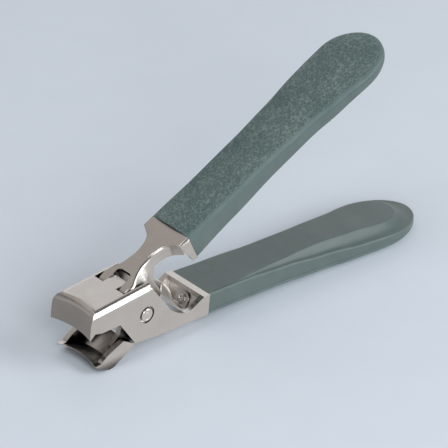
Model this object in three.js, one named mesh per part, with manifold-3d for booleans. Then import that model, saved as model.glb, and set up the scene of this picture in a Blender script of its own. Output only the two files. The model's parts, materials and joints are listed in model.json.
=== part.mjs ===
// Plier-type nail clipper with two sprung handles, built as an assembly of separate pieces.
//
// Everything is drawn in the mechanism frame: the pivot axis is the Y axis, the upper jaw's
// top plate lies level, the jaws point towards -X and the handles towards +X. The lower jaw
// and the upper handle are one pressed piece, drawn fully open. At the end the whole group
// is tilted so that the clipper stands on its lower jaw and on its lower grip, and it is
// moved so that the origin is the middle of its footprint. All lengths are millimetres.

import * as THREE from 'three';
import { mergeVertices } from 'three/addons/utils/BufferGeometryUtils.js';
import Module from 'manifold-3d';

const wasm = await Module();
wasm.setup();

// ---------------------------------------------------------------- driving dimensions

const bodyWidth = 15.0;            // over the side plates of both jaws
const half = bodyWidth / 2;
const sheet = 1.5;                 // thickness of the pressed stainless sheet
const clearance = 0.1;             // gap between pieces that rest on each other

const upperHandleAngle = 23.0;     // degrees above the upper jaw's top plate, fully open
const lowerHandleAngle = -6.4;     // degrees, the same measure
const openAngle = 26.5;            // degrees that the handles turn until the edges meet

const plateTop = 8.6;              // upper face of the upper jaw's top plate
const plateRear = 2.0;             // rear end of the top plate beside the notches
const plateFront = -16.0;          // front of the level plate, inside the lip's bend
const bendRadius = 1.9;            // outside bend between the top plate and the sides
const edgeReach = 19.95;           // from the pivot forward to the corners of the edges
const edgeHeight = 1.15;           // height at which the cutting edges meet
const edgeHollow = 1.3;            // depth of the edges' hollow curve, seen from above
const edgeRadius = (half ** 2 + edgeHollow ** 2) / (2 * edgeHollow);

// Section of each lip: [distance behind the cutting edge, height]. The front faces run from the
// edge to the plate they are bent from, the inner faces back to the sharpened edge.
const upperLipFront = [
  [0, 1.15], [0.1, 3.2], [0.35, 5.4], [0.75, 6.9], [1.4, 7.9], [2.3, 8.45], [3.4, 8.6],
];
const upperLipInner = [[9, 8.6], [9, 7.1], [3.3, 7.1], [2.3, 6.6], [1.85, 5.6], [1.6, 3.2], [0.12, 1.15]];
const lowerLipFront = [
  [0, 1.07], [0.9, -0.6], [1.9, -2.4], [3.0, -3.9], [4.4, -4.5],
];
const lowerLipInner = [[6, -4.5], [6, -3.1], [4.4, -3.1], [3.4, -2.2], [1.7, -0.5], [0.12, 1.07]];

const notchFront = -6.4;           // front end of the two notches in the top plate
const notchInner = 2.45;           // half width of the tongue between them
const notchOuter = 5.65;
const tongueRear = -2.0;
const tongueRound = 0.8;           // corners at the tongue's free end

const pivotRadius = 1.6;
const pivotBore = 1.65;
const rivetHeadRadius = 2.15;
const headSeatRadius = 2.5;
const headSeatDepth = 0.8;

const forkOuter = 5.5;             // half width over the fork's side plates
const forkSheet = 1.4;
const spacerRadius = 2.6;
const spacerEnd = forkOuter - forkSheet - clearance / 2;
const washerRadius = 3.0;
const washerInner = forkOuter + clearance / 2;
const washerOuter = half - sheet - clearance / 2;
const neckOuter = 9.6;             // outer face of the neck, from the pivot across the handle
const neckWaist = 2.55;            // half width of the neck at its narrowest
const wallDepth = 6.1;             // inner edge of the neck's walls behind the fork
const crotch = 3.5;                // where the fork's opening ends, along the handle
const neckBend = 0.8;              // outside bend between the neck's web and its walls
const shoulder = 17.2;             // where the neck is back to full width
const shoulderHalf = 7.1;

const tangWidth = 9.0;
const tangTop = 6.6;               // tang faces, measured across the handle from the pivot
const tangBottom = 5.4;
const tangEnd = 60.0;
const rootTop = 7.4;               // the tang's root on the lower handle lies deeper
const rootBottom = 6.2;
const rootJog = 0.5;               // length of the step between root and tang

const upperGripStart = 20.5;       // along each handle from the pivot
const lowerGripStart = 22.6;
const gripCoreEnd = 94.5;          // rounded end of the smooth inner face
const padDepth = 1.2;              // thickness of the pad's edge on the outer face
const crownHeight = 0.9;           // rise of the pad's middle over its edges

const leafThickness = 0.6;
const leafWidth = 4.4;
const leafRivetX = 18.97;          // middle of the leaf's riveted tail, on its upper face
const leafRivetZ = -7.66;
const leafSlope = 50;              // degrees that the tail and its seat are tipped up
const rivetDepth = 2.2;            // of the rivet's shank below the leaf's upper face

// Grip sections: [distance along the handle, size]. Half width over the pad, half width of the
// inner face, and the heights of the inner face, the cove and the outer edge.
const padHalfWidth = [[20, 7.1], [34, 6.9], [50, 7.0], [64, 7.6], [76, 8.7], [86, 9.3]];
const innerHalfWidth = [[20, 6.9], [33, 6.3], [46, 5.4], [62, 5.0], [76, 5.5], [86, 5.9]];
const innerHeight = [[20, 1.7], [40, 1.7], [64, 1.4], [76, 1.9], [86, 2.6], [99, 3.6]];

// What differs between the two grips. Start and end lie along the handle.
const upperGrip = {
  handle: 'upper',
  start: upperGripStart,
  end: 97.2,
  cove: [[20, 1.7], [36, 2.0], [50, 2.8], [64, 3.4], [80, 3.6], [99, 3.7]],
  outer: [[20, 9.5], [40, 8.95], [66, 8.35], [77, 7.85], [87, 7.0], [99, 5.7]],
};
const lowerGrip = {
  handle: 'lower',
  start: lowerGripStart,
  end: 100.7,
  cove: [[20, 1.7], [36, 2.0], [50, 2.8], [64, 3.8], [80, 4.7], [99, 5.2]],
  outer: [[20, 8.2], [40, 8.4], [66, 8.7], [77, 8.6], [87, 8.4], [99, 7.9]],
};

// ---------------------------------------------------------------- geometry helpers

const toRadians = THREE.MathUtils.degToRad;

function solid(geometry) {
  const bare = geometry.clone();
  bare.deleteAttribute('normal');
  bare.deleteAttribute('uv');
  const merged = mergeVertices(bare, 1e-4);
  const mesh = new wasm.Mesh({
    numProp: 3,
    vertProperties: new Float32Array(merged.attributes.position.array),
    triVerts: new Uint32Array(merged.index.array),
  });
  return new wasm.Manifold(mesh);
}

function geometryOf(manifold) {
  const mesh = manifold.getMesh();
  const geometry = new THREE.BufferGeometry();
  geometry.setAttribute('position', new THREE.BufferAttribute(mesh.vertProperties, 3));
  geometry.setIndex(new THREE.BufferAttribute(mesh.triVerts, 1));
  geometry.computeVertexNormals();
  return geometry;
}

function shapeOf(points) {
  return new THREE.Shape(points.map(([u, v]) => new THREE.Vector2(u, v)));
}

function extruded(points, depth) {
  return new THREE.ExtrudeGeometry(shapeOf(points), { depth, bevelEnabled: false });
}

// A side outline [x, z] pushed across the width from y0 to y1.
function acrossY(points, y0, y1) {
  const geometry = extruded(points, y1 - y0);
  geometry.rotateX(Math.PI / 2);
  geometry.translate(0, y1, 0);
  return solid(geometry);
}

// The same outline on both sides of the middle plane.
function bothSides(points, inner, outer) {
  return acrossY(points, inner, outer).add(acrossY(points, -outer, -inner));
}

// A plan outline [x, y] pushed up from z0 to z1.
function upZ(points, z0, z1) {
  const geometry = extruded(points, z1 - z0);
  geometry.translate(0, 0, z0);
  return solid(geometry);
}

// A cross-section [y, z] pushed along X from x0 to x1.
function alongX(points, x0, x1) {
  const geometry = extruded(points, x1 - x0);
  const axes = new THREE.Matrix4().makeBasis(
    new THREE.Vector3(0, 1, 0),
    new THREE.Vector3(0, 0, 1),
    new THREE.Vector3(1, 0, 0),
  );
  geometry.applyMatrix4(axes);
  geometry.translate(x0, 0, 0);
  return solid(geometry);
}

// A round bar across the width, centred on [x, z].
function crossBar(radius, y0, y1, x = 0, z = 0, segments = 40) {
  const geometry = new THREE.CylinderGeometry(radius, radius, y1 - y0, segments);
  geometry.translate(x, (y0 + y1) / 2, z);
  return solid(geometry);
}

// Points of a smooth curve through a few [u, v] points.
function smooth(points, steps) {
  const curve = new THREE.SplineCurve(points.map(([u, v]) => new THREE.Vector2(u, v)));
  return curve.getPoints(steps).map((p) => [p.x, p.y]);
}

// Points of an arc about [u, v], from one angle to another in degrees.
function arc(u, v, radius, from, to, steps = 6) {
  const points = [];
  for (let i = 0; i <= steps; i += 1) {
    const angle = toRadians(from + ((to - from) * i) / steps);
    points.push([u + radius * Math.cos(angle), v + radius * Math.sin(angle)]);
  }
  return points;
}

// Side-outline points turned about the pivot; a positive angle lifts what lies towards +X.
function turned(points, degrees) {
  const c = Math.cos(toRadians(degrees));
  const s = Math.sin(toRadians(degrees));
  return points.map(([x, z]) => [x * c - z * s, x * s + z * c]);
}

// Points given along and outwards from a handle, placed in the mechanism frame.
function onUpperHandle(points) {
  return turned(points, upperHandleAngle);
}

function onLowerHandle(points) {
  return turned(points.map(([along, out]) => [along, -out]), lowerHandleAngle);
}

// A solid drawn with X along the handle and Z outwards, placed on one of the handles.
function placed(manifold, handle) {
  const geometry = geometryOf(manifold);
  geometry.deleteAttribute('normal');
  if (handle === 'lower') {
    geometry.scale(1, 1, -1);
    const index = geometry.index.array;
    for (let i = 0; i < index.length; i += 3) {
      [index[i], index[i + 1]] = [index[i + 1], index[i]];
    }
  }
  const angle = handle === 'lower' ? lowerHandleAngle : upperHandleAngle;
  geometry.rotateY(-toRadians(angle));
  return solid(geometry);
}

// ---------------------------------------------------------------- materials

function metal(color, roughness) {
  return new THREE.MeshStandardMaterial({ color, roughness, metalness: 1.0 });
}

function moulded(color, roughness) {
  return new THREE.MeshStandardMaterial({ color, roughness, metalness: 0.0 });
}

const satinSteel = metal(0xbcbab6, 0.32);
const polishedSteel = metal(0xd2d2d0, 0.18);
const springSteel = metal(0xa9a7a2, 0.3);
const gripPlastic = moulded(0x5f6f6d, 0.5);
const gripLeather = moulded(0x5a6d6a, 0.62);

const clipper = new THREE.Group();

function addPart(name, manifold, material) {
  const mesh = new THREE.Mesh(geometryOf(manifold), material);
  mesh.name = name;
  clipper.add(mesh);
}

// ---------------------------------------------------------------- upper jaw frame

// A section turned about the upright axis of the edges' hollow curve, in front of the jaws.
function turnedAboutHollow(section) {
  const profile = section.map(([back, height]) => new THREE.Vector2(edgeRadius + back, height));
  if (THREE.ShapeUtils.isClockWise(profile)) profile.reverse();
  profile.push(profile[0].clone());
  const geometry = new THREE.LatheGeometry(profile, 144);
  geometry.rotateX(Math.PI / 2);
  geometry.translate(edgeHollow - edgeReach - edgeRadius, 0, 0);
  return solid(geometry);
}

// The lip itself: a strip of sheet that follows the hollow curve.
function lipOf(front, inner) {
  const width = acrossY([[-24, -10], [-11, -10], [-11, 12], [-24, 12]], -half, half);
  return turnedAboutHollow([...front, ...inner]).intersect(width);
}

// Everything in front of a lip, to cut from the jaw behind it.
function frontOf(front, beyondEdge, beyondPlate) {
  const [firstBack, firstHeight] = front[0];
  const [lastBack, lastHeight] = front[front.length - 1];
  return turnedAboutHollow([
    [-edgeRadius + 5, firstHeight + beyondEdge],
    [firstBack, firstHeight + beyondEdge],
    [firstBack, firstHeight],
    ...front.slice(1),
    [lastBack, lastHeight + beyondPlate],
    [-edgeRadius + 5, lastHeight + beyondPlate],
  ]);
}

function upperSideOutline() {
  const scoop = smooth(
    [[plateRear + 0.2, 6.9], [5.7, 1.8], [9.2, -3.2], [14.2, -6.0], [18.8, -4.5]], 18,
  );
  const root = onLowerHandle([[20.4, 1.7], [lowerGripStart - clearance, 1.7]]);
  const rootFoot = onLowerHandle([[lowerGripStart - clearance, 7.7], [15.6, 7.9]]);
  return [
    [-edgeReach + 0.1, edgeHeight],
    [-18.1, 2.5],
    [-15.6, 1.7],
    [-9.3, 1.2],
    [-4.1, -7.1],
    [4.6, -8.5],
    ...rootFoot.reverse(),
    ...root.reverse(),
    ...scoop.reverse(),
    [plateRear, plateTop],
    [-22, plateTop],
    [-22, edgeHeight],
  ];
}

// Cross-section of the jaw's channel: level top, rounded bends, sides open at the bottom.
function channelSection(outerHalf, top, radius) {
  const low = -14;
  return [
    [-outerHalf, low],
    [outerHalf, low],
    ...arc(outerHalf - radius, top - radius, radius, 0, 90),
    ...arc(-outerHalf + radius, top - radius, radius, 90, 180),
  ];
}

function topPlateNotches() {
  const rear = plateRear + 6;
  const notch = (side) => {
    const low = Math.min(side * notchInner, side * notchOuter);
    const high = Math.max(side * notchInner, side * notchOuter);
    return upZ([[notchFront, low], [rear, low], [rear, high], [notchFront, high]], 5, 12);
  };
  const behindTongue = upZ([
    [rear, -notchInner - 0.01],
    [rear, notchInner + 0.01],
    [tongueRear - tongueRound, notchInner + 0.01],
    ...arc(tongueRear - tongueRound, notchInner - tongueRound, tongueRound, 90, 0),
    ...arc(tongueRear - tongueRound, tongueRound - notchInner, tongueRound, 0, -90),
    [tongueRear - tongueRound, -notchInner - 0.01],
  ], 5, 12);
  return notch(1).add(notch(-1)).add(behindTongue);
}

function stripCorners() {
  const round = 1.6;
  const corner = (side) => {
    const points = [
      [plateRear + 3, side * (half + 1)],
      [plateRear + 3, side * (half - round)],
      ...arc(plateRear - round, side * (half - round), round, 0, side * 90),
      [plateRear - round, side * (half + 1)],
    ];
    return upZ(side > 0 ? points.reverse() : points, 7.2, 12);
  };
  return corner(1).add(corner(-1));
}

// Points given up the leaf's riveted slope and square out from it, in the mechanism frame.
function onLeafSlope(points) {
  return turned(points, leafSlope).map(([x, z]) => [x + leafRivetX, z + leafRivetZ]);
}

// A lathe profile of [radius, height], standing on the slope at the middle of the rivet.
function leafPin(profile) {
  const geometry = new THREE.LatheGeometry(
    profile.map(([radius, height]) => new THREE.Vector2(radius, height)), 28,
  );
  geometry.rotateX(Math.PI / 2);
  geometry.rotateY(-toRadians(leafSlope));
  geometry.translate(leafRivetX, 0, leafRivetZ);
  return solid(geometry);
}

function upperJawFrame() {
  const outside = alongX(channelSection(half, plateTop, bendRadius), -30, 60);
  const inside = alongX(
    channelSection(half - sheet, plateTop - sheet, bendRadius - sheet + 0.3), -30, 60,
  );
  const sides = bothSides(upperSideOutline(), half - sheet, half);
  const topPlate = acrossY([
    [plateFront, plateTop - sheet],
    [plateRear, plateTop - sheet],
    [plateRear, plateTop],
    [plateFront, plateTop],
  ], -half, half);
  const lip = lipOf(upperLipFront, upperLipInner);

  const bends = outside.subtract(inside).intersect(acrossY([
    [plateFront, plateTop - bendRadius],
    [plateRear, plateTop - bendRadius],
    [plateRear, plateTop],
    [plateFront, plateTop],
  ], -half, half));

  const rootEnd = lowerGripStart - clearance;
  const insideHalf = half - sheet + 0.05;
  const web = acrossY(onLowerHandle([
    [20.4, 1.7], [rootEnd, 1.7], [rootEnd, 3.1], [20.4, 3.1],
  ]), -insideHalf, insideHalf);
  const tangRoot = acrossY(onLowerHandle([
    [20.6, rootBottom], [rootEnd, rootBottom], [rootEnd, rootTop], [20.6, rootTop],
  ]), -insideHalf, insideHalf);
  const seatFace = -leafThickness - clearance;
  const rootRoom = acrossY(onLowerHandle([
    [15, 1.7], [rootEnd, 1.7], [rootEnd, rootTop], [15, rootTop],
  ]), -insideHalf, insideHalf);
  const seat = acrossY(onLeafSlope([
    [-1.9, seatFace], [5.0, seatFace], [5.0, seatFace - 1.2], [-1.9, seatFace - 1.2],
  ]), -insideHalf, insideHalf).intersect(rootRoom);
  const tang = acrossY(onLowerHandle([
    [rootEnd - rootJog, tangBottom],
    [tangEnd, tangBottom],
    [tangEnd, tangTop],
    [rootEnd, tangTop],
    [rootEnd, rootTop],
    [rootEnd - rootJog, rootTop],
  ]), -tangWidth / 2, tangWidth / 2);
  const leafHole = leafPin([[0, -rivetDepth - clearance], [0.95, -rivetDepth - clearance], [0.95, 1], [0, 1]]);

  let frame = sides.add(topPlate).add(bends).intersect(outside);
  frame = frame.subtract(frontOf(upperLipFront, -3, 3)).add(lip.intersect(outside));
  frame = frame.subtract(topPlateNotches()).subtract(stripCorners());
  frame = frame.add(web).add(tangRoot).add(seat).add(tang).subtract(leafHole);
  frame = frame.subtract(crossBar(pivotBore, -20, 20));
  frame = frame.subtract(crossBar(headSeatRadius, half - headSeatDepth, 20));
  frame = frame.subtract(crossBar(headSeatRadius, -20, -half + headSeatDepth));
  return frame;
}

// ---------------------------------------------------------------- lower jaw frame

// Half width over the neck's walls, along the handle: at the web, and further down, where the
// fork's plates stay flat past the pivot before they close in on the neck.
const webCurve = smooth([
  [1.0, forkOuter], [2.4, 4.75], [4.0, 3.9], [5.8, 3.25], [8.0, 2.75], [10.8, neckWaist],
  [13.4, 3.0], [15.2, 4.0], [16.4, 5.7], [shoulder, shoulderHalf],
], 60);
const plateCurve = smooth([[3.0, forkOuter], [5.6, 4.2], [8.4, 2.9], [11.0, neckWaist]], 30);

function widthOn(curve, along) {
  const next = curve.findIndex(([place]) => place > along);
  if (next === 0) {
    return curve[0][1];
  }
  if (next < 0) {
    return curve[curve.length - 1][1];
  }
  const [[a0, w0], [a1, w1]] = [curve[next - 1], curve[next]];
  return w0 + ((w1 - w0) * (along - a0)) / (a1 - a0);
}

function webWidth(along) {
  return widthOn(webCurve, along);
}

function plateWidth(along) {
  return along < 11 ? widthOn(plateCurve, along) : webWidth(along);
}

const wallStations = [
  -14, -2.6, 1.0, 1.7, 2.4, 3.2, 4.0, 4.9, 5.8, 6.9, 8.0, 9.4, 10.8, 12.1, 13.4, 14.3, 15.2, 15.8,
  16.4, 16.8, shoulder, upperGripStart - clearance,
];

// The wall's section at a place along the handle: [outer half width, inner half width, height].
// It slants from the flat plates up to the web and is bent over into it.
function wallSection(along) {
  const top = webWidth(along);
  const bent = [0, 22.5, 45, 67.5, 90].map((degrees) => {
    const angle = toRadians(degrees);
    return [
      top - neckBend * (1 - Math.cos(angle)),
      top - forkSheet,
      neckOuter - neckBend * (1 - Math.sin(angle)),
    ];
  });
  const foot = plateWidth(along);
  return [[foot, foot - forkSheet, wallDepth], ...bent];
}

function slantedWall(side) {
  const corners = wallStations.map((along) => wallSection(along).map(([outer, inner, z]) => [
    [along, side * outer, z], [along, side * inner, z],
  ]));
  const blocks = [];
  for (let i = 1; i < corners.length; i += 1) {
    for (let k = 1; k < corners[i].length; k += 1) {
      blocks.push(wasm.Manifold.hull([
        ...corners[i - 1][k - 1], ...corners[i - 1][k], ...corners[i][k - 1], ...corners[i][k],
      ]));
    }
  }
  return wasm.Manifold.union(blocks);
}

function neckWalls() {
  const outer = wallStations.map((along) => [along, plateWidth(along)]);
  const inner = outer.map(([along, width]) => [along, width - forkSheet]).reverse();
  const wall = [...outer, ...inner];
  const mirrored = wall.map(([along, width]) => [along, -width]).reverse();
  const plates = upZ(wall, -30, wallDepth + 0.05).add(upZ(mirrored, -30, wallDepth + 0.05));
  return plates.add(slantedWall(1)).add(slantedWall(-1));
}

function wallOutline() {
  const end = upperGripStart - clearance;
  const top = onUpperHandle([[-2.6, neckOuter - 1.0], [-1.8, neckOuter], [end, neckOuter]]);
  const flange = onUpperHandle([
    [end, neckOuter - neckBend],
    [17.35, neckOuter - neckBend],
    [17.35, wallDepth],
    [14.5, wallDepth - 0.4],
    [10.2, wallDepth - 0.2],
  ]);
  const jawRoot = turned([[-8.9, 0.2], [-12.5, -0.4], [-12.5, -4.4], [-6.4, -4.6]], openAngle);
  return [
    ...jawRoot,
    [-2.5, -5.6],
    [2.5, -5.2],
    [6.6, -2.2],
    [9.2, 0.2],
    [8.4, 2.2],
    [6.8, 4.6],
    [6.4, 7.0],
    ...flange.reverse(),
    ...top.reverse(),
    [-6.25, 6.6],
    [-7.1, -1.4],
  ];
}

function lowerJawOutline() {
  return turned([
    [-22, edgeHeight - 0.08],
    [-edgeReach + 0.1, edgeHeight - 0.08],
    [-17.9, 0.1],
    [-15.5, 0.5],
    [-9.3, -0.2],
    [-6.9, -4.5],
    [-22, -4.5],
  ], openAngle);
}

function turnedSolid(manifold, degrees) {
  const geometry = geometryOf(manifold);
  geometry.rotateY(-toRadians(degrees));
  return solid(geometry);
}

function neckWeb() {
  const end = upperGripStart - clearance;
  const side = wallStations.slice(1).map((along) => [along, webWidth(along) - neckBend]);
  const outline = [
    ...side.map(([along, width]) => [along, -width]),
    ...side.reverse(),
  ];
  const web = upZ(outline, neckOuter - forkSheet, neckOuter);
  const round = 1.2;
  const opening = upZ([
    [-6, -notchInner - 0.05],
    ...arc(crotch - round, -notchInner - 0.05 + round, round, -90, 0),
    ...arc(crotch - round, notchInner + 0.05 - round, round, 0, 90),
    [-6, notchInner + 0.05],
  ], 0, 20);
  return web.subtract(opening);
}

function shoulderFlanges() {
  const end = upperGripStart - clearance;
  const top = neckOuter - neckBend + 0.05;
  const outline = [[17.3, top], [17.4, 7.8], [19.0, 1.7], [end, 1.5], [end, top]];
  const sides = bothSides(outline, shoulderHalf - forkSheet, shoulderHalf);
  const endWall = acrossY([
    [end - forkSheet, tangBottom], [end, tangBottom], [end, neckOuter], [end - forkSheet, neckOuter],
  ], -6, 6);
  const tang = acrossY([
    [end - 1, tangBottom], [tangEnd, tangBottom], [tangEnd, tangTop], [end - 1, tangTop],
  ], -tangWidth / 2, tangWidth / 2);
  return sides.add(endWall).add(tang);
}

function lowerJawFrame() {
  const walls = placed(neckWalls(), 'upper').intersect(acrossY(wallOutline(), -10, 10));
  const neck = placed(neckWeb().add(shoulderFlanges()), 'upper');
  const jawSides = bothSides(lowerJawOutline(), half - sheet, half);
  const jawBottom = acrossY(turned([
    [-14.6, -4.5], [-6.9, -4.5], [-7.6, -3.1], [-14.6, -3.1],
  ], openAngle), -half, half);
  const drum = turnedSolid(frontOf(lowerLipFront, 3, -3), openAngle);
  const lip = lipOf(lowerLipFront, lowerLipInner);
  const joggle = bothSides(turned([
    [-12.4, -0.3], [-9.6, -0.5], [-7.4, -4.4], [-12.4, -4.4],
  ], openAngle), forkOuter - 0.1, half - sheet + 0.1);
  let frame = jawSides.add(jawBottom).subtract(drum).add(turnedSolid(lip, openAngle));
  frame = frame.add(joggle).add(walls).add(neck);
  return frame.subtract(crossBar(pivotBore, -20, 20));
}

// ---------------------------------------------------------------- pivot

// Domed rivet: a lathe profile of radius against length, turned to lie across the width.
function pivotRivet() {
  const seat = half - headSeatDepth + 0.05;
  const dome = [
    [0, half + 0.35],
    [0.9, half + 0.25],
    [1.45, half - 0.05],
    [1.6, half - 0.2],
    [rivetHeadRadius - 0.15, half - 0.15],
    [rivetHeadRadius, half - 0.3],
    [rivetHeadRadius, seat],
    [pivotRadius, seat],
  ];
  const below = dome.map(([radius, y]) => [radius, -y]).reverse();
  const profile = [...dome, ...below].reverse().map(([radius, y]) => new THREE.Vector2(radius, y));
  return solid(new THREE.LatheGeometry(profile, 40));
}

function ring(inner, outer, y0, y1) {
  return crossBar(outer, y0, y1).subtract(crossBar(inner, y0 - 1, y1 + 1));
}

// ---------------------------------------------------------------- return spring

// Leaf profile in the side view: flat under its rivet, kinked up, and arched over to the
// fork's heel, which rests on its free end.
function leafSpring() {
  const middle = -leafThickness / 2;
  const foot = onLeafSlope([[leafWidth / 2, middle], [0, middle], [-1.5, middle]]);
  const centre = smooth([
    ...foot,
    [17.4, -9.25],
    [16.2, -8.5],
    [14.9, -6.6],
    [13.5, -4.0],
    [12.6, -0.9],
    [11.2, 1.2],
    [10.0, 0.9],
    [9.5, -0.9],
    [7.6, -2.4],
  ], 34);
  const offset = (side) => centre.map(([x, z], i) => {
    const [x0, z0] = centre[Math.max(i - 1, 0)];
    const [x1, z1] = centre[Math.min(i + 1, centre.length - 1)];
    const length = Math.hypot(x1 - x0, z1 - z0);
    return [x - (side * (z1 - z0)) / length, z + (side * (x1 - x0)) / length];
  });
  const amount = leafThickness / 2;
  const strip = acrossY(
    [...offset(amount), ...offset(-amount).reverse()], -leafWidth / 2, leafWidth / 2,
  );
  const reach = leafWidth / 2;
  const disc = leafPin([[0, -3], [reach, -3], [reach, 2], [0, 2]]);
  const straight = acrossY(
    onLeafSlope([[0, -12], [0, 1.2], [8, 1.2], [8, 20], [-25, 20], [-25, -12]]), -reach, reach,
  );
  const hole = leafPin([[0, -3], [0.95, -3], [0.95, 2], [0, 2]]);
  return strip.intersect(disc.add(straight)).subtract(hole);
}

// Rivet that holds the leaf on its seat: a head with a small dimple, and a blind shank.
function leafRivet() {
  return leafPin([
    [0, -rivetDepth],
    [0.85, -rivetDepth],
    [0.85, clearance],
    [1.4, clearance],
    [1.4, 0.25],
    [1.1, 0.42],
    [0.6, 0.46],
    [0.4, 0.28],
    [0, 0.24],
  ]);
}

// ---------------------------------------------------------------- grips

function valueAt(table, along) {
  for (let i = 1; i < table.length; i += 1) {
    const [a0, v0] = table[i - 1];
    const [a1, v1] = table[i];
    if (along <= a1) {
      const t = THREE.MathUtils.smootherstep(along, a0, a1);
      return v0 + (v1 - v0) * (0.5 * t + (0.5 * (along - a0)) / (a1 - a0));
    }
  }
  return table[table.length - 1][1];
}

// Plan outline of a grip: both long sides from the table, and a rounded end.
function gripPlan(table, start, end, inset) {
  const bulb = table[table.length - 1][0];
  const wide = valueAt(table, bulb) - inset;
  const side = [];
  for (let i = 0; i <= 16; i += 1) {
    const along = start + ((bulb - start) * i) / 16;
    side.push([along, valueAt(table, along) - inset]);
  }
  for (let i = 1; i < 10; i += 1) {
    const angle = (Math.PI / 2) * (i / 10);
    side.push([bulb + (end - bulb) * Math.sin(angle), wide * Math.cos(angle)]);
  }
  const near = side.map(([along, width]) => [along, -width]);
  return [...near, [end, 0], ...side.reverse()];
}

// Side profile of a grip between two height functions.
function gripProfile(low, high, start, end) {
  const lower = [];
  const upper = [];
  for (let i = 0; i <= 20; i += 1) {
    const along = start + ((end + 0.5 - start) * i) / 20;
    lower.push([along, low(along)]);
    upper.push([along, high(along)]);
  }
  return acrossY([...lower, ...upper.reverse()], -12, 12);
}

// The moulded body: a wide rim that the pad sits on, and a narrower core with the inner face.
function gripBody({ handle, start, end, cove, outer }) {
  const seam = (along) => valueAt(outer, along) - padDepth - clearance / 2;
  const rimSide = gripProfile((along) => valueAt(cove, along), seam, start, end);
  const coreSide = gripProfile((along) => valueAt(innerHeight, along), seam, start, end);
  const rim = upZ(gripPlan(padHalfWidth, start, end, 0), -5, 15).intersect(rimSide);
  const core = upZ(gripPlan(innerHalfWidth, start, gripCoreEnd, 0), -5, 15).intersect(coreSide);
  const pocket = acrossY([
    [start - 1, tangBottom - clearance],
    [tangEnd + 0.3, tangBottom - clearance],
    [tangEnd + 0.3, tangTop + clearance],
    [start - 1, tangTop + clearance],
  ], -tangWidth / 2 - clearance, tangWidth / 2 + clearance);
  return placed(rim.add(core).subtract(pocket), handle);
}

// The leather-grained pad: a slab over the rim, rounded across the handle.
function gripPad({ handle, start, end, outer }) {
  const edge = (along) => valueAt(outer, along);
  const slab = upZ(gripPlan(padHalfWidth, start, end, 0.2), -5, 15).intersect(gripProfile(
    (along) => edge(along) - padDepth + clearance / 2,
    (along) => edge(along) + crownHeight,
    start,
    end,
  ));
  const widest = padHalfWidth[padHalfWidth.length - 1][1];
  const rise = crownHeight * 1.7;
  const crownRadius = (widest ** 2 + rise ** 2) / (2 * rise);
  const top = edge(start) + crownHeight;
  const spread = THREE.MathUtils.radToDeg(Math.asin(12 / crownRadius));
  const crown = alongX([
    [12, -2],
    ...arc(0, top - crownRadius, crownRadius, 90 - spread, 90 + spread, 14),
    [-12, -2],
  ], start - 5, end + 5);
  return placed(slab.intersect(crown), handle);
}

// ---------------------------------------------------------------- assembly

addPart('upper_jaw_frame', upperJawFrame(), satinSteel);
addPart('lower_jaw_frame', lowerJawFrame(), satinSteel);
addPart('pivot_rivet', pivotRivet(), polishedSteel);
addPart('pivot_spacer', ring(pivotBore + 0.1, spacerRadius, -spacerEnd, spacerEnd), satinSteel);
addPart('thrust_washer_near', ring(pivotBore, washerRadius, -washerOuter, -washerInner), springSteel);
addPart('thrust_washer_far', ring(pivotBore, washerRadius, washerInner, washerOuter), springSteel);
addPart('return_spring', leafSpring(), springSteel);
addPart('spring_rivet', leafRivet(), polishedSteel);
addPart('upper_grip_body', gripBody(upperGrip), gripPlastic);
addPart('upper_grip_pad', gripPad(upperGrip), gripLeather);
addPart('lower_grip_body', gripBody(lowerGrip), gripPlastic);
addPart('lower_grip_pad', gripPad(lowerGrip), gripLeather);

// The stance: the tilt at which the lower jaw and the lower grip touch one level surface.
function lowestPoints() {
  const point = new THREE.Vector3();
  const jaw = { x: 0, z: Infinity };
  const grip = { x: 0, z: Infinity };
  clipper.updateMatrixWorld(true);
  clipper.traverse((mesh) => {
    if (!mesh.isMesh) return;
    const position = mesh.geometry.attributes.position;
    for (let i = 0; i < position.count; i += 1) {
      point.fromBufferAttribute(position, i).applyMatrix4(mesh.matrixWorld);
      const side = mesh.name === 'lower_jaw_frame' ? jaw : grip;
      if (mesh.name !== 'lower_jaw_frame' && mesh.name !== 'lower_grip_pad') continue;
      if (point.z < side.z) {
        side.x = point.x;
        side.z = point.z;
      }
    }
  });
  return { jaw, grip };
}

for (let i = 0; i < 8; i += 1) {
  const { jaw, grip } = lowestPoints();
  clipper.rotation.y += Math.atan2(grip.z - jaw.z, grip.x - jaw.x);
}

const box = new THREE.Box3().setFromObject(clipper, true);
const centre = box.getCenter(new THREE.Vector3());
clipper.position.set(-centre.x, -centre.y, -box.min.z);

export default clipper;
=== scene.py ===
"""Looks for a plier-type nail clipper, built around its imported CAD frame.

The steel pieces are the CAD nodes themselves, with softened edges and procedural satin steel.
The spring, the pivot rivet and the four grip pieces are rebuilt here as finer meshes that stand
for their CAD nodes. Lengths are metres; the tables below are millimetres, as in the CAD source.
"""

import json
import math

import bmesh
import bpy
from mathutils import Matrix, Vector, noise

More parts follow.
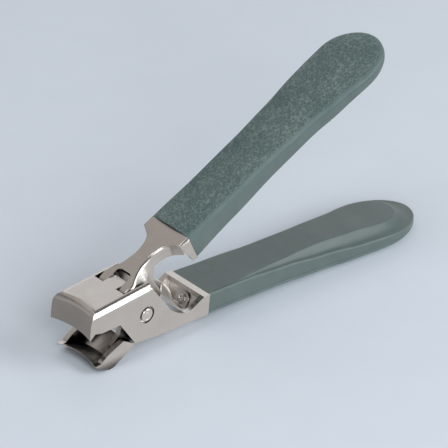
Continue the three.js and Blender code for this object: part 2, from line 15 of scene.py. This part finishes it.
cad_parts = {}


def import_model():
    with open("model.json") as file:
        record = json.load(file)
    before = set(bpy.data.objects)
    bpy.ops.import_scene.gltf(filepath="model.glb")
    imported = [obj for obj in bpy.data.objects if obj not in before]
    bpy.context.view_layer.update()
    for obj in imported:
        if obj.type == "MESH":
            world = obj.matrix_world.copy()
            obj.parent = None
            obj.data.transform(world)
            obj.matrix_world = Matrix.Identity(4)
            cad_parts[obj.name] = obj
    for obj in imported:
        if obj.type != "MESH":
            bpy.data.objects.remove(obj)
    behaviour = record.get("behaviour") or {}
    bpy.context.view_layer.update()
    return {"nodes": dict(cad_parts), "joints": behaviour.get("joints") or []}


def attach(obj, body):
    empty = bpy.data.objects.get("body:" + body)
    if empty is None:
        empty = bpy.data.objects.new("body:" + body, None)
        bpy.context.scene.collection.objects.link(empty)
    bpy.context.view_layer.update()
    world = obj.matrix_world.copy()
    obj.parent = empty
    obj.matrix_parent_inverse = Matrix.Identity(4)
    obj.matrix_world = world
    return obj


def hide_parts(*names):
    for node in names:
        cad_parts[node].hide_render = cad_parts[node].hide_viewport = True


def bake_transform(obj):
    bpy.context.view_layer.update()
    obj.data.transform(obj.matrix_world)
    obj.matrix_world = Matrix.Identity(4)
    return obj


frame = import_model()

MM = 0.001
SAME_PLACE = 2e-7              # metres within which two vertices are one
ROOT = "lower_handle"          # the upper jaw and the lower handle are one frame
SWING = "upper_handle"         # the lower jaw and the upper handle swing about the pivot

# The mechanism frame: origin on the pivot axis, X along the upper jaw's level top plate.
PIVOT = Vector(frame["joints"][0]["pos_m"])
STANCE_TILT = 4.58836          # degrees that the tool is tipped up to stand on its grip
HANDLE_ANGLE = {"upper": 23.0, "lower": -6.4}

# Grip sections: [distance along the handle, size], the same as in the CAD source.
PAD_HALF_WIDTH = [[20, 7.1], [34, 6.9], [50, 7.0], [64, 7.6], [76, 8.7], [86, 9.3]]
INNER_HALF_WIDTH = [[20, 6.9], [33, 6.3], [46, 5.4], [62, 5.0], [76, 5.5], [86, 5.9]]
INNER_HEIGHT = [[20, 1.7], [40, 1.7], [64, 1.4], [76, 1.9], [86, 2.6], [99, 3.6]]
GRIPS = {
    "upper": {
        "body": SWING, "start": 20.5, "end": 97.2,
        "cove": [[20, 1.7], [36, 2.0], [50, 2.8], [64, 3.4], [80, 3.6], [99, 3.7]],
        "outer": [[20, 9.5], [40, 8.95], [66, 8.35], [77, 7.85], [87, 7.0], [99, 5.7]],
    },
    "lower": {
        "body": ROOT, "start": 22.6, "end": 100.7,
        "cove": [[20, 1.7], [36, 2.0], [50, 2.8], [64, 3.8], [80, 4.7], [99, 5.2]],
        "outer": [[20, 8.2], [40, 8.4], [66, 8.7], [77, 8.6], [87, 8.4], [99, 7.9]],
    },
}
CORE_END = 94.5                # where the raised inner face of a grip ends
BULB = 86.0                    # where a grip's outline starts to round off
MOULDING_EDGE = 0.6            # radius round the moulding's inner rim
PAD_DEPTH = 1.2
PAD_RISE = 0.75                # height of the pad's rounded edge
PAD_EDGE = 1.1                 # width of the pad's rounded edge
CROWN = 0.85                   # that the pad rises in its middle
GRAIN_RELIEF = 0.2             # from the leather's creases to its pebbles
GRAIN_SEED = 5                 # noise_vector draws from the clock without one
SEAM_GAP = 0.03                # that pad and moulding each stop short of their seam
HALF_WIDTH = 7.5               # outer faces of the side plates
SHANK_RADIUS = 1.6             # pivot rivet
HEAD_SEAT = 0.74               # depth of the rivet head's seat
LEAF_THICKNESS = 0.6
LEAF_WIDTH = 4.4
LEAF_RIVET = (18.97, -7.66)    # middle of the leaf's riveted tail, on its upper face
LEAF_SLOPE = 50                # degrees that the tail and its seat are tipped up
LEAF_ROUND = 0.14              # radius along the leaf's edges
LEAF_LINE = [
    (17.4, -9.25), (16.2, -8.5), (14.9, -6.6), (13.5, -4.0), (12.6, -0.9), (11.2, 1.2),
    (10.0, 0.9), (9.5, -0.9), (7.6, -2.4),
]

CAMERA_AZIMUTH = -42.8         # degrees, about the mechanism frame
CAMERA_ELEVATION = 35.0
LENS = 1400.0                  # millimetres, on a sensor of the next size
SENSOR = 36.0
VIEW_WIDTH = 0.1163636364      # metres that the picture spans at the object


# ------------------------------------------------------------------ placing

def in_frame(x, y, z):
    """A point of the mechanism frame, in millimetres, as a point of the row frame."""
    c, s = math.cos(math.radians(STANCE_TILT)), math.sin(math.radians(STANCE_TILT))
    return PIVOT + Vector((x * c - z * s, y, x * s + z * c)) * MM


def on_handle(side, along, y, out):
    """A point along, across and outwards from a handle, as a point of the row frame."""
    angle = math.radians(HANDLE_ANGLE[side])
    out = out if side == "upper" else -out
    c, s = math.cos(angle), math.sin(angle)
    return in_frame(along * c - out * s, y, along * s + out * c)


def value_at(table, along):
    """Smooth value of a table at a place along the handle."""
    for (a0, v0), (a1, v1) in zip(table, table[1:]):
        if along <= a1:
            u = max(0.0, (along - a0) / (a1 - a0))
            eased = u * u * u * (u * (u * 6 - 15) + 10)
            return v0 + (v1 - v0) * (eased + u) / 2
    return table[-1][1]


# ------------------------------------------------------------------ node materials

def new_material(name):
    material = bpy.data.materials.new(name)
    material.use_nodes = True
    tree = material.node_tree
    return material, tree, tree.nodes["Principled BSDF"]


def node(tree, kind, values=None, **settings):
    made = tree.nodes.new(kind)
    for key, value in settings.items():
        setattr(made, key, value)
    for key, value in (values or {}).items():
        made.inputs[key].default_value = value
    return made


def noise_field(tree, scale, detail, roughness, stretch=(1, 1, 1)):
    """Noise on the object's own coordinates, which may be stretched into lines."""
    field = node(tree, "ShaderNodeTexNoise", {
        "Scale": scale, "Detail": detail, "Roughness": roughness,
    })
    where = node(tree, "ShaderNodeTexCoord")
    mapped = node(tree, "ShaderNodeMapping", {"Scale": stretch})
    tree.links.new(where.outputs["Object"], mapped.inputs["Vector"])
    tree.links.new(mapped.outputs["Vector"], field.inputs["Vector"])
    return field.outputs["Fac"]


def ramp(tree, source, stops):
    """A field as colours: stops are (place, colour)."""
    made = node(tree, "ShaderNodeValToRGB")
    elements = made.color_ramp.elements
    while len(elements) < len(stops):
        elements.new(0.5)
    for element, (place, colour) in zip(elements, stops):
        element.position = place
        element.color = (*colour, 1)
    tree.links.new(source, made.inputs["Fac"])
    return made.outputs["Color"]


def spread(tree, source, low, high):
    """The middle part of a noise field as a range of values."""
    made = node(tree, "ShaderNodeMapRange", {
        "From Min": 0.3, "From Max": 0.7, "To Min": low, "To Max": high,
    })
    tree.links.new(source, made.inputs["Value"])
    return made.outputs["Result"]


def multiplied(tree, first, second, share):
    """One colour field darkened by another."""
    made = node(
        tree, "ShaderNodeMix", {"Factor": share}, data_type="RGBA", blend_type="MULTIPLY",
    )
    tree.links.new(first, made.inputs["A"])
    tree.links.new(second, made.inputs["B"])
    return made.outputs["Result"]


def bump(tree, shader, fields):
    """Bumps one on another: (height field, distance in metres, strength)."""
    last = None
    for height, distance, strength in fields:
        made = node(tree, "ShaderNodeBump", {"Distance": distance, "Strength": strength})
        tree.links.new(height, made.inputs["Height"])
        if last is not None:
            tree.links.new(last, made.inputs["Normal"])
        last = made.outputs["Normal"]
    tree.links.new(last, shader.inputs["Normal"])


def steel(name, colour, dark, rough, grain_strength, crevice_shade_levels):
    """Steel with fine lines along the tool, faint clouding, hairline marks and painted shade in its
    crevices.
    """
    material, tree, shader = new_material(name)
    cloud = noise_field(tree, 160, 3, 0.6)
    lines = noise_field(tree, 1.0, 6, 0.7, stretch=(260, 5200, 5200))
    marks = noise_field(tree, 1.0, 2, 0.4, stretch=(90, 2600, 2600))
    tint = ramp(tree, cloud, [(0.3, dark), (0.7, colour)])
    # Ambient occlusion darkens the base colour: painted shade in the steel's crevices and hollows.
    crevice = node(tree, "ShaderNodeAmbientOcclusion", {"Distance": SHADE_REACH}, samples=12)
    painted_crevice_shade = ramp(tree, crevice.outputs["AO"], [
        (place, (level, level * 0.97, level * 0.95)) for place, level in crevice_shade_levels
    ])
    tree.links.new(multiplied(tree, tint, painted_crevice_shade, 1.0), shader.inputs["Base Color"])
    shader.inputs["Metallic"].default_value = 1.0
    tree.links.new(spread(tree, marks, rough - 0.04, rough + 0.06), shader.inputs["Roughness"])
    bump(tree, shader, [
        (lines, 0.00002, grain_strength),
        (marks, 0.00003, grain_strength * 0.5),
    ])
    return material


def moulded(name, base, light, rough):
    """Smooth moulded grip plastic: fine spark-eroded texture and slight mottling."""
    material, tree, shader = new_material(name)
    cloud = noise_field(tree, 220, 4, 0.6)
    pores = noise_field(tree, 5200, 3, 0.6)
    tint = ramp(tree, cloud, [(0.3, base), (0.72, light)])
    tree.links.new(tint, shader.inputs["Base Color"])
    tree.links.new(spread(tree, pores, rough - 0.05, rough + 0.08), shader.inputs["Roughness"])
    shader.inputs["Specular IOR Level"].default_value = 0.45
    bump(tree, shader, [(pores, 0.00003, 0.35)])
    return material


def grained(name, crack, base, dark, rough):
    """Leather grain, coloured by its height, which the mesh carries as the attribute "grain", together
    with a painted highlight along the pad's edge.
    """
    material, tree, shader = new_material(name)
    grain = node(tree, "ShaderNodeAttribute", attribute_name="grain").outputs["Fac"]
    pores = noise_field(tree, 3600, 4, 0.65)
    cloud = noise_field(tree, 120, 3, 0.5)
    tint = ramp(tree, grain, [(0.1, crack), (0.38, base), (0.75, dark)])
    shade = ramp(tree, cloud, [(0.3, (0.62, 0.7, 0.74)), (0.7, (1.15, 1.12, 1.08))])
    tree.links.new(multiplied(tree, tint, shade, 0.6), shader.inputs["Base Color"])
    tree.links.new(spread(tree, pores, rough - 0.06, rough + 0.1), shader.inputs["Roughness"])
    shader.inputs["Specular IOR Level"].default_value = 0.5
    bump(tree, shader, [(pores, 0.00006, 0.5)])
    return material


# Painted shade in the crevices, from ambient occlusion: how open a place is, and how much of the
# steel's colour is left there.
SHADE_REACH = 5.0 * MM
LIGHT_CREVICE_SHADE = [(0.0, 0.5), (0.4, 0.85), (0.7, 1.0)]
DEEP_CREVICE_SHADE = [(0.0, 0.02), (0.5, 0.08), (0.72, 0.4), (0.86, 1.0)]
BRIGHT_STEEL, DULL_STEEL = (0.65, 0.64, 0.63), (0.6, 0.59, 0.58)
SATIN = steel("satin_steel", BRIGHT_STEEL, DULL_STEEL, 0.21, 0.1, LIGHT_CREVICE_SHADE)
# The same satin steel with far deeper painted shade in its hollows, for the lower jaw and the spacer.
SATIN_DEEP_SHADE = steel("satin_steel_deep_shade", BRIGHT_STEEL, DULL_STEEL, 0.21, 0.1, DEEP_CREVICE_SHADE)
POLISHED = steel("polished_steel", (0.74, 0.735, 0.72), (0.68, 0.675, 0.66), 0.2, 0.05, LIGHT_CREVICE_SHADE)
SPRING = steel("spring_steel", (0.72, 0.7, 0.68), (0.66, 0.64, 0.62), 0.42, 0.1, LIGHT_CREVICE_SHADE)
PLASTIC = moulded("grip_plastic", (0.088, 0.124, 0.122), (0.104, 0.145, 0.142), 0.4)
LEATHER = grained(
    "grip_leather", (0.215, 0.305, 0.3), (0.122, 0.178, 0.174), (0.088, 0.138, 0.141), 0.44,
)


# ------------------------------------------------------------------ mesh building

def finished(name, bm, material, body, stands_for, sharp):
    """Turns a bmesh into a piece that stands for a CAD node. A blended piece rides on no body."""
    bmesh.ops.remove_doubles(bm, verts=bm.verts, dist=SAME_PLACE)
    bmesh.ops.recalc_face_normals(bm, faces=bm.faces)
    mesh = bpy.data.meshes.new(name)
    bm.to_mesh(mesh)
    bm.free()
    mesh.shade_smooth()
    mesh.set_sharp_from_angle(angle=math.radians(sharp))
    mesh.materials.append(material)
    piece = bpy.data.objects.new(name, mesh)
    bpy.context.scene.collection.objects.link(piece)
    if body is not None:
        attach(piece, body)
    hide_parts(stands_for)
    return piece


def strip(bm, first, second):
    """Quads, or triangles where two points coincide, between two rows of vertices."""
    for a, b, c, d in zip(first, first[1:], second[1:], second):
        corners = []
        for vertex in (a, b, c, d):
            if not corners or all((vertex.co - other.co).length > SAME_PLACE for other in corners):
                corners.append(vertex)
        if len(corners) > 2:
            bm.faces.new(corners)


def spun(profile, centre, axis, steps=72):
    """A bmesh of a profile of (radius, height), spun about an axis through a point."""
    bm = bmesh.new()
    rings = []
    for radius, height in profile:
        ring = []
        for i in range(steps + 1):
            angle = 2 * math.pi * (i % steps) / steps
            place = (radius * math.cos(angle), radius * math.sin(angle), height)
            ring.append(bm.verts.new([value * MM for value in place]))
        rings.append(ring)
    for first, second in zip(rings, rings[1:]):
        strip(bm, first, second)
    turn = Vector((0, 0, 1)).rotation_difference(axis).to_matrix().to_4x4()
    bm.transform(Matrix.Translation(centre) @ turn)
    return bm


# ------------------------------------------------------------------ grips

def outline(table, start, end, along_steps, round_steps):
    """One side of a grip's plan outline, from its front end to the tip, with its normals."""
    points = []
    for i in range(along_steps):
        along = start + (BULB - start) * i / along_steps
        points.append((along, value_at(table, along)))
    wide = value_at(table, BULB)
    for i in range(round_steps + 1):
        angle = math.pi / 2 * i / round_steps
        points.append((BULB + (end - BULB) * math.sin(angle), wide * math.cos(angle)))
    normals = []
    for i in range(len(points)):
        (a0, w0), (a1, w1) = points[max(i - 1, 0)], points[min(i + 1, len(points) - 1)]
        length = math.hypot(a1 - a0, w1 - w0)
        normals.append((-(w1 - w0) / length, (a1 - a0) / length))
    normals[0] = (0.0, 1.0)
    normals[-1] = (1.0, 0.0)
    return list(zip(points, normals))


def inset(curve, amount):
    """An outline moved in by an amount. It still ends on the grip's middle line."""
    moved = [(a - na * amount, max(w - nw * amount, 0.0)) for (a, w), (na, nw) in curve]
    moved[-1] = (moved[-1][0], 0.0)
    return moved


def grain_height(along, y, seed):
    """Leather grain from 0 in the creases to 1 on the pebbles."""
    where = Vector((along, y, seed))
    wander = noise.noise_vector(where * 0.7) * 0.5 + noise.noise_vector(where * 2.3) * 0.25
    gaps, _ = noise.voronoi(Vector((along * 0.95, y * 1.1, seed)) + wander)
    fine, _ = noise.voronoi(Vector((along * 2.1, y * 2.3, seed + 4)) + wander)
    crease = min(1.0, (gaps[1] - gaps[0]) / 0.36)
    wrinkle = min(1.0, (fine[1] - fine[0]) / 0.5)
    depth = 0.5 + 0.5 * noise.noise(where * 0.35)
    return 1 - (1 - crease) * (0.65 + 0.2 * depth) - (1 - wrinkle) * (0.25 - 0.15 * depth)


def closed_shell(rings, side, across, cover):
    """A bmesh from half-outline rings, mirrored and closed.

    The last ring is closed by a cover with its own height at each place, and the first one flat.
    """
    bm = bmesh.new()
    for sign in (1, -1):
        rows = [[bm.verts.new(on_handle(side, a, sign * y, n)) for a, y, n in ring] for ring in rings]
        for first, second in zip(rows, rows[1:]):
            strip(bm, first, second)
    for ring, steps, height in ((rings[-1], across, cover), (rings[0], 6, None)):
        rows = []
        for a, y, n in ring:
            row = []
            for j in range(steps + 1):
                share = 2 * j / steps - 1
                place = y * (math.sin(math.pi / 2 * share) if height else share)
                at_edge = j in (0, steps)
                level = n if height is None or at_edge else height(a, place, n)
                row.append(bm.verts.new(on_handle(side, a, place, level)))
            rows.append(row)
        for first, second in zip(rows, rows[1:]):
            strip(bm, first, second)
    bmesh.ops.remove_doubles(bm, verts=bm.verts, dist=SAME_PLACE)
    open_edges = [edge for edge in bm.edges if edge.is_boundary]
    bmesh.ops.holes_fill(bm, edges=open_edges, sides=0)
    return bm


def grip_body(side):
    """The smooth moulding: straight sides, a rounded rim, and a coved inner face."""
    grip = GRIPS[side]
    rim = outline(PAD_HALF_WIDTH, grip["start"], grip["end"], 90, 34)
    core = outline(INNER_HALF_WIDTH, grip["start"], CORE_END, 90, 34)

    def seam(along):
        return value_at(grip["outer"], along) - PAD_DEPTH - SEAM_GAP

    def cove(along):
        return value_at(grip["cove"], along)

    def inner(along):
        return value_at(INNER_HEIGHT, along)

    rings = []
    for amount, share in ((0.1, 0.0), (0.02, 0.03), (0.0, 0.1), (0.0, 0.45), (0.0, 0.8)):
        rings.append([
            (a, y, seam(a) + (cove(a) + 0.7 - seam(a)) * share) for a, y in inset(rim, amount)
        ])
    for angle in (0, 25, 50, 75):
        amount = MOULDING_EDGE * (1 - math.cos(math.radians(angle)))
        drop = MOULDING_EDGE * (1 - math.sin(math.radians(angle)))
        rings.append([(a, y, cove(a) + drop) for a, y in inset(rim, amount)])
    foot = inset(rim, MOULDING_EDGE)
    brow = inset(core, 0.0)
    steps = 16
    sweep = 0.47 * math.pi
    for i in range(1, steps + 1):
        share = i / steps
        fall = 0.9 * (1 - math.cos(share * sweep)) / (1 - math.cos(sweep))
        ring = []
        for (a0, y0), (a1, y1) in zip(foot, brow):
            a, y = a0 + (a1 - a0) * share, y0 + (y1 - y0) * share
            ring.append((a, y, cove(a) + (inner(a) - cove(a)) * fall))
        rings.append(ring)
    for amount, fall in ((0.12, 0.955), (0.32, 0.99), (0.6, 1.0)):
        rings.append([
            (a, y, cove(a) + (inner(a) - cove(a)) * fall) for a, y in inset(core, amount)
        ])

    bm = closed_shell(rings, side, 24, lambda a, y, n: n)
    name, replaced = side + "_grip_moulding", side + "_grip_body"
    finished(name, bm, PLASTIC, grip["body"], replaced, 55)


def grip_pad(side, seed):
    """The crowned, leather-grained cover on a grip's outer face."""
    grip = GRIPS[side]
    rim = outline(PAD_HALF_WIDTH, grip["start"], grip["end"], 250, 60)

    def edge(along):
        return value_at(grip["outer"], along)

    def half_width(along):
        return value_at(PAD_HALF_WIDTH, min(along, BULB))

    def reach(along, y):
        """From 0 on the pad's middle line to 1 at its edge."""
        round_off = max(0.0, (along - BULB) / (grip["end"] - BULB))
        return min(1.0, math.hypot(y / half_width(along), round_off))

    def crown(along, y):
        share = reach(along, y)
        return CROWN * (1 - share * share)

    def top(along, y, _):
        margin = (1 - reach(along, y)) * half_width(along)
        fade = min(1.0, max(0.0, (margin - PAD_EDGE) / 0.8))
        grain = GRAIN_RELIEF * fade * (grain_height(along, y, seed) - 0.8)
        return edge(along) + crown(along, y) + grain

    rings = [
        [(a, y, edge(a) - PAD_DEPTH + rise) for a, y in inset(rim, amount)]
        for amount, rise in ((0.1, SEAM_GAP), (0.03, 0.07), (0.0, 0.16))
    ]
    for angle in range(0, 91, 9):
        amount = PAD_EDGE * (1 - math.cos(math.radians(angle)))
        rise = math.sin(math.radians(angle))
        rings.append([
            (a, y, edge(a) - PAD_RISE * (1 - rise) + crown(a, y) * rise) for a, y in inset(rim, amount)
        ])

    bm = closed_shell(rings, side, 84, top)
    name, replaced = side + "_grip_cover", side + "_grip_pad"
    piece = finished(name, bm, LEATHER, grip["body"], replaced, 55)
    paint_grain(piece, side, edge, seed)


def paint_grain(piece, side, edge, seed):
    """Stores the grain's height on the mesh: even on the side band, and lowered at its edge into a
    light line, a painted highlight.
    """
    angle = math.radians(HANDLE_ANGLE[side] + STANCE_TILT)
    c, s = math.cos(angle), math.sin(angle)
    flip = 1 if side == "upper" else -1
    layer = piece.data.attributes.new("grain", "FLOAT", "POINT")
    values = []
    for vertex in piece.data.vertices:
        x, y, z = (vertex.co - PIVOT) / MM
        along, out = x * c + z * s, (z * c - x * s) * flip
        raised = out - edge(along)
        fade = min(1.0, max(0.0, (raised + 0.02) / 0.2))
        # A light line painted along the pad's rounded edge: painted highlight.
        painted_edge_highlight = max(0.0, 1 - abs(raised + 0.06) / 0.12)
        values.append((0.6 + (grain_height(along, y, seed) - 0.6) * fade) * (1 - 0.4 * painted_edge_highlight))
    layer.data.foreach_set("value", values)


noise.seed_set(GRAIN_SEED)
for handle, seed in (("upper", 3.0), ("lower", 11.0)):
    grip_body(handle)
    grip_pad(handle, seed)


# ------------------------------------------------------------------ steel pieces

def soften(name, width, material, sharp=28):
    """Gives a CAD node its steel and takes the sharpness off its edges, by a width in mm."""
    piece = frame["nodes"][name]
    piece.data.materials.clear()
    piece.data.materials.append(material)
    piece.data.shade_smooth()
    weld = piece.modifiers.new("weld", "WELD")
    weld.merge_threshold = 2e-6
    flat = piece.modifiers.new("flat", "DECIMATE")
    flat.decimate_type = "DISSOLVE"
    flat.angle_limit = math.radians(1.5)
    edges = piece.modifiers.new("edges", "BEVEL")
    edges.width = width * MM
    edges.segments = 3
    edges.limit_method = "ANGLE"
    edges.angle_limit = math.radians(sharp)
    edges.use_clamp_overlap = True
    edges.miter_outer = "MITER_ARC"
    flats = piece.modifiers.new("flats", "WEIGHTED_NORMAL")
    flats.mode = "FACE_AREA"
    flats.weight = 60
    flats.keep_sharp = True


soften("upper_jaw_frame", 0.16, SATIN)
soften("lower_jaw_frame", 0.16, SATIN_DEEP_SHADE)
soften("pivot_spacer", 0.1, SATIN_DEEP_SHADE)
soften("thrust_washer_near", 0.05, SPRING)
soften("thrust_washer_far", 0.05, SPRING)
soften("spring_rivet", 0.05, POLISHED, 35)


def smooth_line(points, steps):
    """A Catmull-Rom line through points of a plane."""
    def between(a, b, c, d, t):
        square = 2 * a - 5 * b + 4 * c - d
        cube = 3 * b - a - 3 * c + d
        return 0.5 * (2 * b + (c - a) * t + square * t * t + cube * t ** 3)

    last = len(points) - 1
    line = []
    for i in range(last):
        near = [points[min(max(k, 0), last)] for k in (i - 1, i, i + 1, i + 2)]
        for j in range(steps):
            line.append(tuple(between(*values, j / steps) for values in zip(*near)))
    return line + [tuple(points[-1])]


def return_spring():
    """The leaf between the handles: riveted at its round tail, arched over to the fork's heel."""
    c, s = math.cos(math.radians(LEAF_SLOPE)), math.sin(math.radians(LEAF_SLOPE))

    def on_slope(up, out):
        return (LEAF_RIVET[0] + up * c - out * s, LEAF_RIVET[1] + up * s + out * c)

    reach = LEAF_WIDTH / 2
    middle = -LEAF_THICKNESS / 2
    tail = (reach - 0.02, 2.1, 1.95, 1.7, 1.3, 0.7, 0, -0.8, -1.5)
    centre = smooth_line([*(on_slope(up, middle) for up in tail), *LEAF_LINE], 10)
    section = []
    for corner, (sy, sn) in enumerate(((1, 1), (-1, 1), (-1, -1), (1, -1))):
        for k in range(5):
            turn = math.radians(90 * corner + 90 * k / 4)
            section.append((sy, sn, LEAF_ROUND * math.cos(turn), LEAF_ROUND * math.sin(turn)))
    bm = bmesh.new()
    rings = []
    for i, (x, z) in enumerate(centre):
        (x0, z0), (x1, z1) = centre[max(i - 1, 0)], centre[min(i + 1, len(centre) - 1)]
        length = math.hypot(x1 - x0, z1 - z0)
        nx, nz = -(z1 - z0) / length, (x1 - x0) / length
        wide = reach
        past = (x - LEAF_RIVET[0]) * c + (z - LEAF_RIVET[1]) * s
        if past > 0:
            wide = math.sqrt(max(0.06, reach * reach - past * past))
        ring = []
        for sy, sn, ey, en in section:
            y = sy * (wide - LEAF_ROUND) + ey
            n = sn * (LEAF_THICKNESS / 2 - LEAF_ROUND) + en
            ring.append(bm.verts.new(in_frame(x + nx * n, y, z + nz * n)))
        rings.append(ring)
    for first, second in zip(rings, rings[1:]):
        strip(bm, first + first[:1], second + second[:1])
    bm.faces.new(rings[0])
    bm.faces.new(rings[-1])
    piece = finished("leaf_return_spring", bm, SPRING, None, "return_spring", 35)
    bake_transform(piece)


def pivot_rivet():
    """A rivet with a crowned head in a ring on both sides, each in its seat."""
    seat = HALF_WIDTH - HEAD_SEAT
    head = [
        (0.0, 0.3), (0.25, 0.29), (0.5, 0.25), (0.75, 0.19), (0.95, 0.13), (1.1, 0.11),
        (1.25, 0.14), (1.4, 0.2), (1.55, 0.23), (1.7, 0.2), (1.82, 0.12), (1.9, 0.0),
        (1.93, -0.15), (1.95, -HEAD_SEAT),
    ]
    far = [(radius, HALF_WIDTH + rise) for radius, rise in head]
    shank = [(SHANK_RADIUS, seat), (SHANK_RADIUS, -seat)]
    near = [(radius, -height) for radius, height in reversed(far)]
    bm = spun(far + shank + near, PIVOT, Vector((0, 1, 0)))
    finished("pivot_rivet_turned", bm, POLISHED, ROOT, "pivot_rivet", 50)


return_spring()
pivot_rivet()


# ------------------------------------------------------------------ camera, floor and light

def camera():
    """A long lens at the tool's jaw end, looking down past the near side plate."""
    azimuth, elevation = math.radians(CAMERA_AZIMUTH), math.radians(CAMERA_ELEVATION)
    level = math.cos(elevation)
    back = Vector((math.sin(azimuth) * level, -math.cos(azimuth) * level, math.sin(elevation)))
    right = Vector((math.cos(azimuth), math.sin(azimuth), 0))
    up = back.cross(right)
    tip = Matrix.Rotation(math.radians(-STANCE_TILT), 3, "Y")
    back, right, up = tip @ back, tip @ right, tip @ up
    distance = VIEW_WIDTH * LENS / SENSOR
    middle = PIVOT + right * 0.02496 + up * 0.02034 - back * 0.02
    data = bpy.data.cameras.new("view")
    data.lens = LENS
    data.sensor_width = SENSOR
    data.clip_start, data.clip_end = 0.1, 30
    eye = bpy.data.objects.new("view", data)
    basis = Matrix((right, up, back)).transposed().to_4x4()
    eye.matrix_world = Matrix.Translation(middle + back * distance) @ basis
    bpy.context.scene.collection.objects.link(eye)
    bpy.context.scene.camera = eye


def floor():
    """A pale sheet of paper, which the steel doesn't mirror."""
    size = 4.0
    mesh = bpy.data.meshes.new("floor")
    corners = [(-size, -size, 0), (size, -size, 0), (size, size, 0), (-size, size, 0)]
    mesh.from_pydata(corners, [], [(0, 1, 2, 3)])
    piece = bpy.data.objects.new("floor", mesh)
    bpy.context.scene.collection.objects.link(piece)
    material, tree, shader = new_material("floor_paper")
    cloud = noise_field(tree, 60, 3, 0.55)
    tint = ramp(tree, cloud, [(0.3, (0.70, 0.775, 0.87)), (0.7, (0.715, 0.79, 0.885))])
    tree.links.new(tint, shader.inputs["Base Color"])
    shader.inputs["Roughness"].default_value = 0.85
    mesh.materials.append(material)
    piece.visible_glossy = False


def softbox(name, direction, distance, width, height, power, colour=(1, 1, 1)):
    """A rectangular lamp that faces the tool from a direction."""
    data = bpy.data.lights.new(name, "AREA")
    data.shape = "RECTANGLE"
    data.size, data.size_y = width, height
    data.energy = power
    data.color = colour
    lamp = bpy.data.objects.new(name, data)
    toward = Vector(direction).normalized()
    lamp.location = toward * distance + Vector((0, 0, 0.02))
    lamp.rotation_mode = "QUATERNION"
    lamp.rotation_quaternion = toward.to_track_quat("Z", "Y")
    bpy.context.scene.collection.objects.link(lamp)


def world():
    """Soft studio surroundings: dim overhead, paler at the horizon, shaded low at the back left."""
    back_left = (-0.707, 0.707, 0.0)
    made = bpy.data.worlds.new("studio")
    made.use_nodes = True
    tree = made.node_tree
    where = node(tree, "ShaderNodeTexCoord").outputs["Generated"]
    split = node(tree, "ShaderNodeSeparateXYZ")
    tree.links.new(where, split.inputs["Vector"])
    side = node(tree, "ShaderNodeVectorMath", operation="DOT_PRODUCT")
    side.inputs[1].default_value = back_left
    tree.links.new(where, side.inputs[0])
    height = node(tree, "ShaderNodeMapRange", {"From Min": -1.0, "From Max": 1.0})
    tree.links.new(split.outputs["Z"], height.inputs["Value"])
    tone = ramp(tree, height.outputs["Result"], [
        (0.0, (0.66, 0.655, 0.65)),
        (0.44, (0.74, 0.735, 0.73)),
        (0.58, (0.6, 0.6, 0.6)),
        (0.8, (0.24, 0.23, 0.225)),
        (1.0, (0.1, 0.095, 0.09)),
    ])
    shade = node(tree, "ShaderNodeMapRange", {
        "From Min": 0.05, "From Max": 0.6, "To Min": 1.0, "To Max": 0.42,
    })
    tree.links.new(side.outputs["Value"], shade.inputs["Value"])
    low = node(tree, "ShaderNodeMapRange", {"From Min": 0.35, "From Max": 0.0})
    tree.links.new(split.outputs["Z"], low.inputs["Value"])
    mixed = node(tree, "ShaderNodeMix", {"A": 1.0}, data_type="FLOAT")
    tree.links.new(low.outputs["Result"], mixed.inputs["Factor"])
    tree.links.new(shade.outputs["Result"], mixed.inputs["B"])
    background = tree.nodes["Background"]
    tree.links.new(tone, background.inputs["Color"])
    tree.links.new(mixed.outputs["Result"], background.inputs["Strength"])
    bpy.context.scene.world = made


camera()
floor()
world()
softbox("back_right", (0.6, 0.6, 0.55), 0.9, 0.9, 0.8, 1.25)
softbox("back_high", (-0.2, 0.62, 0.76), 0.9, 0.5, 0.5, 0.24, (1.0, 0.93, 0.86))
softbox("front_right", (0.56, -0.75, 0.42), 0.9, 0.45, 1.0, 5.5)
softbox("overhead", (-0.45, 0.0, 0.9), 0.9, 0.4, 0.4, 1.2)
softbox("key_left", (-0.5, -0.85, 0.55), 1.0, 0.5, 0.5, 3.8)

bpy.context.scene.view_settings.view_transform = "Standard"
